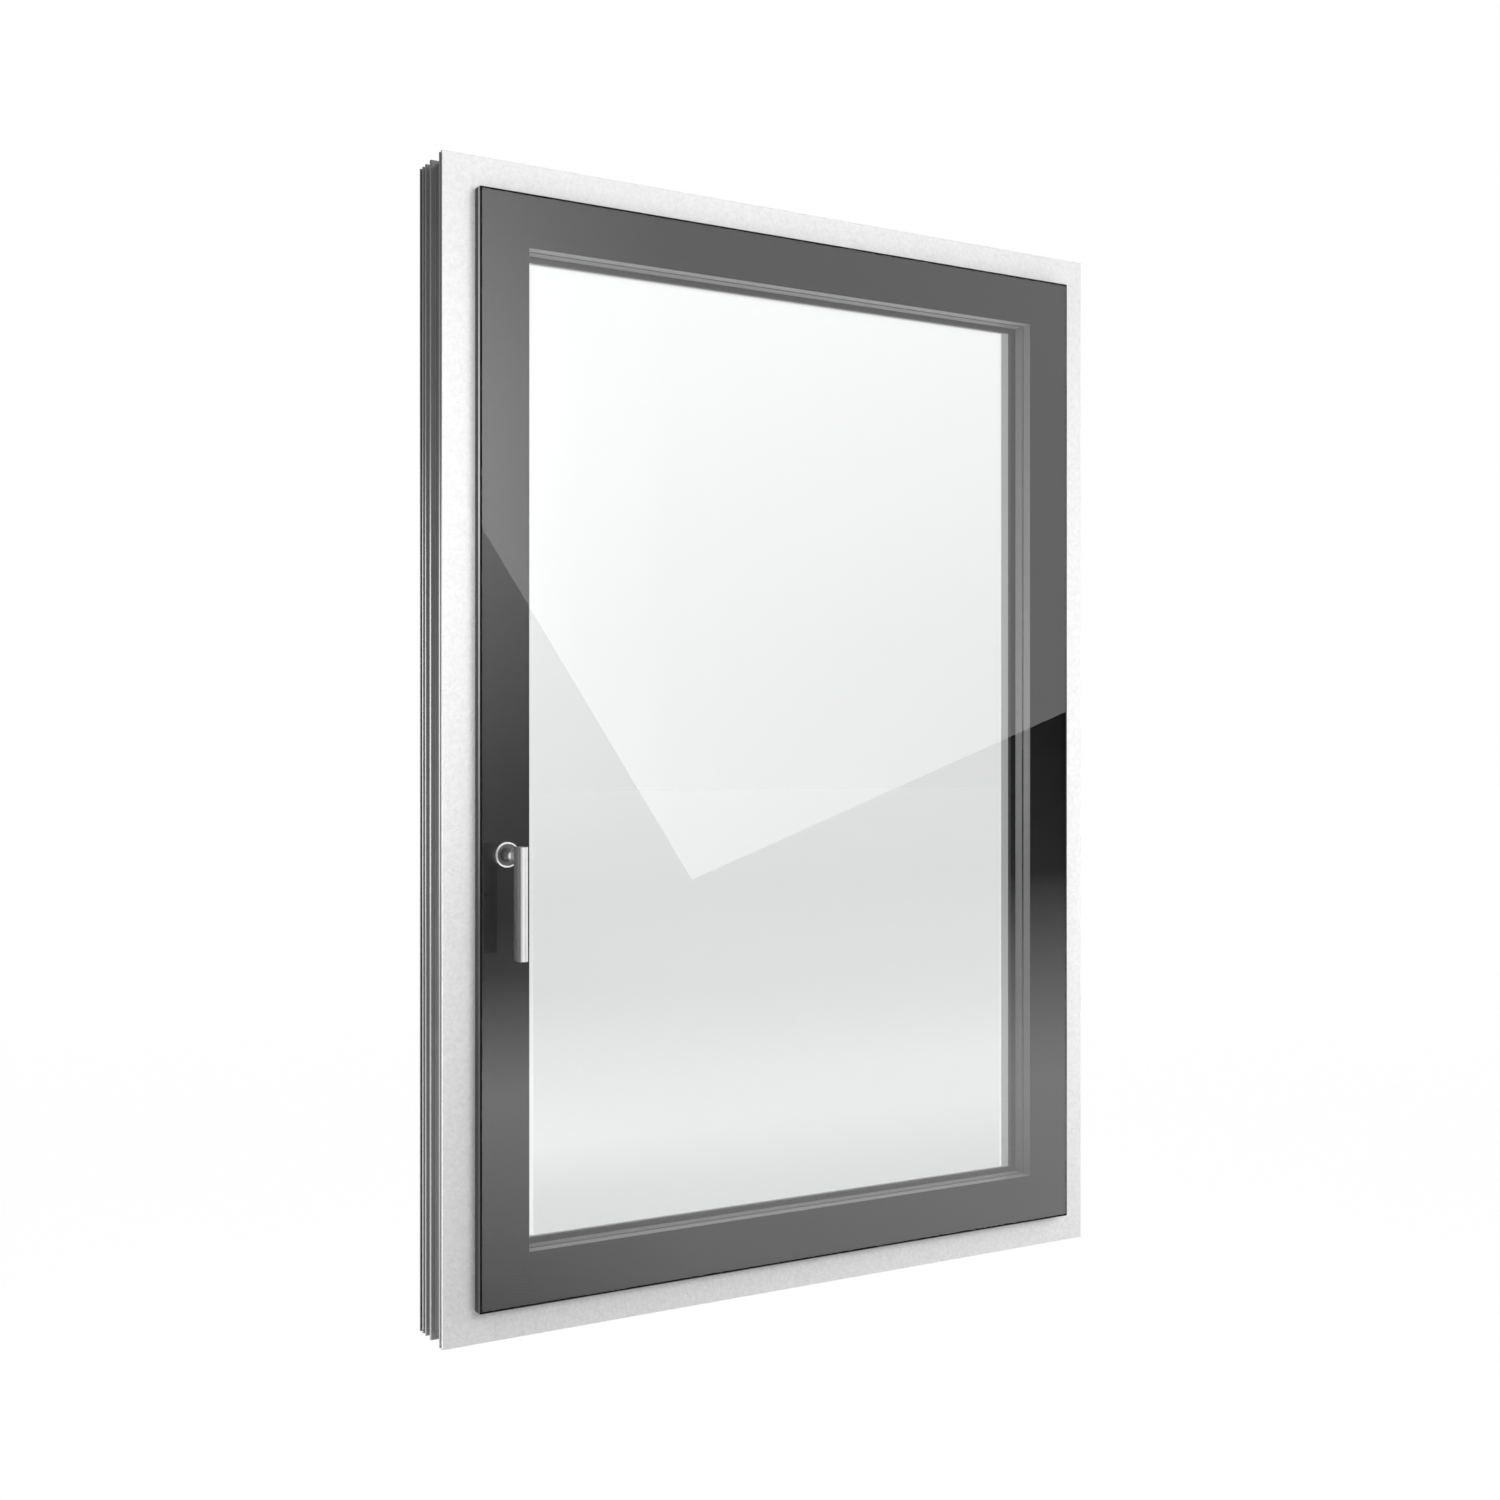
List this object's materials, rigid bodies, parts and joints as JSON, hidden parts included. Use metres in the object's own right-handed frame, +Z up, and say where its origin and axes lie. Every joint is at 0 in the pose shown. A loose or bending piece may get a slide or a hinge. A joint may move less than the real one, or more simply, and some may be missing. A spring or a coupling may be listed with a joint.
{
  "type": "casement window",
  "caption": "Inward-opening casement window with a mitred frame, insulating glazing under a printed glass border and a lever handle that turns to lock and open.",
  "frame": {"origin": "middle of the sill's underside, on the flat of its broad rib", "axes": "+X along the sill to the right as seen from the room, +Y outdoors through the wall, +Z up"},
  "size_m": [0.96, 0.1574, 1.4],
  "materials": {
    "frame_core": "dark grey satin extruded profile",
    "room_trim": "white fine-textured coating",
    "weather_cladding": "dark grey satin coating",
    "sash_core": "near-black satin extruded profile",
    "glazing_lip": "light grey satin coating",
    "clear_glass": "clear float glass",
    "border_print": "black fired print behind glass",
    "spacer": "grey warm-edge bar",
    "seal": "black seal",
    "handle": "satin anodised",
    "spindle": "zinc plated bar"
  },
  "bodies": {
    "window": {"frame_sill": "frame_core", "frame_head": "frame_core", "frame_left_jamb": "frame_core", "frame_right_jamb": "frame_core", "room_trim_sill": "room_trim", "room_trim_head": "room_trim", "room_trim_left": "room_trim", "room_trim_right": "room_trim", "weather_cladding_sill": "weather_cladding", "weather_cladding_head": "weather_cladding", "weather_cladding_left": "weather_cladding", "weather_cladding_right": "weather_cladding", "sash_bottom_rail": "sash_core", "sash_top_rail": "sash_core", "sash_left_stile": "sash_core", "sash_right_stile": "sash_core", "glazing_lip_sill": "glazing_lip", "glazing_lip_head": "glazing_lip", "glazing_lip_left": "glazing_lip", "glazing_lip_right": "glazing_lip", "inner_pane": "clear_glass", "middle_pane": "clear_glass", "outer_pane": "clear_glass", "inner_spacer": "spacer", "outer_spacer": "spacer", "glazing_gasket": "seal", "sash_seal": "seal", "frame_seal": "seal", "border_print": "border_print", "handle_rosette": "handle"},
    "handle": {"handle_lever": "handle", "handle_spindle": "spindle"}
  },
  "joints": [
    {"name": "handle_turn", "type": "hinge", "parent": "window", "child": "handle", "pos_m": [-0.4085, -0.0591, 0.577], "axis": [0, -1, 0], "range_deg": [0, 180]}
  ]
}
